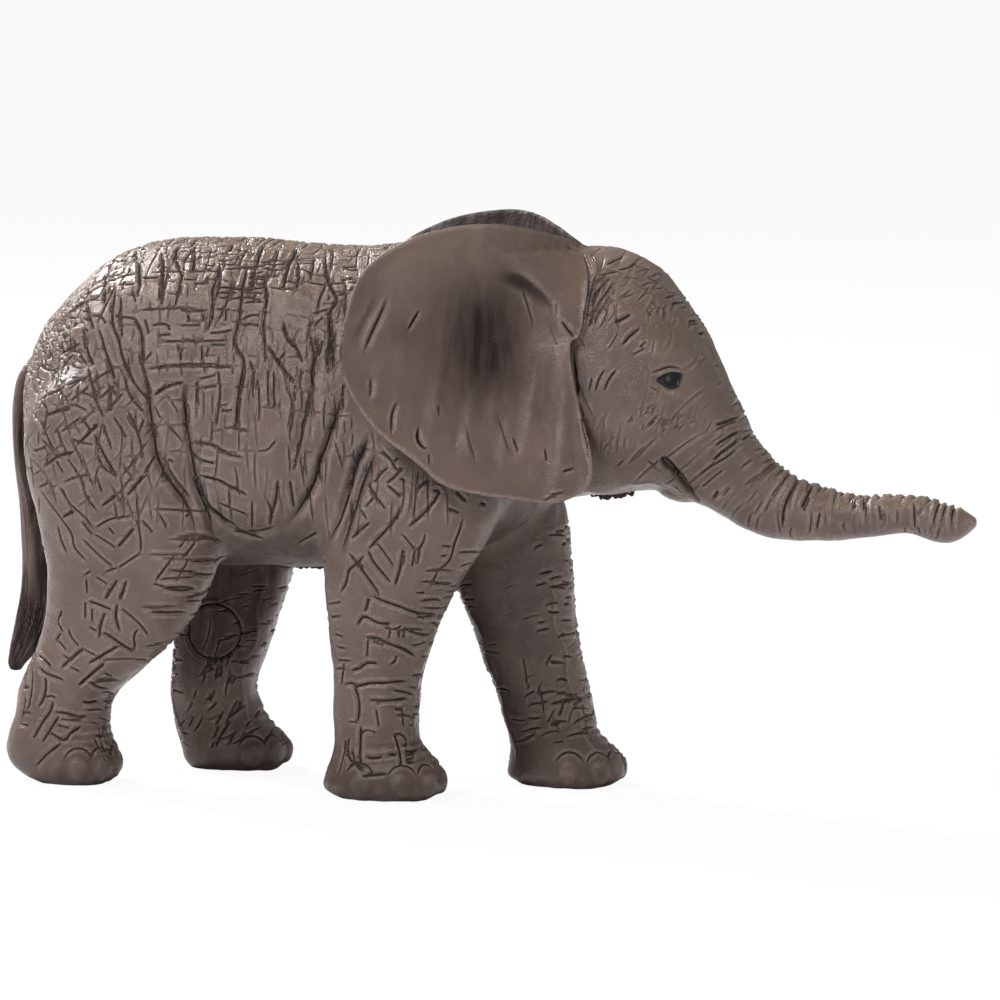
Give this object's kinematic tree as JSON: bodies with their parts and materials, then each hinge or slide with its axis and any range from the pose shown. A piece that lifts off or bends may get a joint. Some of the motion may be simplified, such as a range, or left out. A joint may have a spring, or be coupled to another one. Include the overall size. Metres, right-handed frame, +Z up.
{
  "type": "toy elephant figure",
  "caption": "Small moulded figure of a young elephant, walking, with the trunk held forward; stands on flat soles.",
  "frame": {"origin": "on the ground, under the middle of the figure's bounding box", "axes": "+X forward along the trunk, +Y to the animal's left, +Z up"},
  "size_m": [0.095, 0.0348, 0.0555],
  "materials": {
    "hide": "semi-matte soft PVC, grey-brown, hand painted with a dark wash",
    "far_hide": "semi-matte soft PVC, darker grey-brown",
    "dark_hide": "semi-matte soft PVC, dark brown"
  },
  "bodies": {
    "root": {"torso_right_half": "hide", "torso_left_half": "hide", "head": "hide", "right_ear": "hide", "left_ear": "hide", "right_fore_leg": "hide", "left_fore_leg": "far_hide", "right_hind_leg": "hide", "left_hind_leg": "far_hide", "tail": "dark_hide", "hind_leg_plug": "far_hide"}
  },
  "joints": []
}
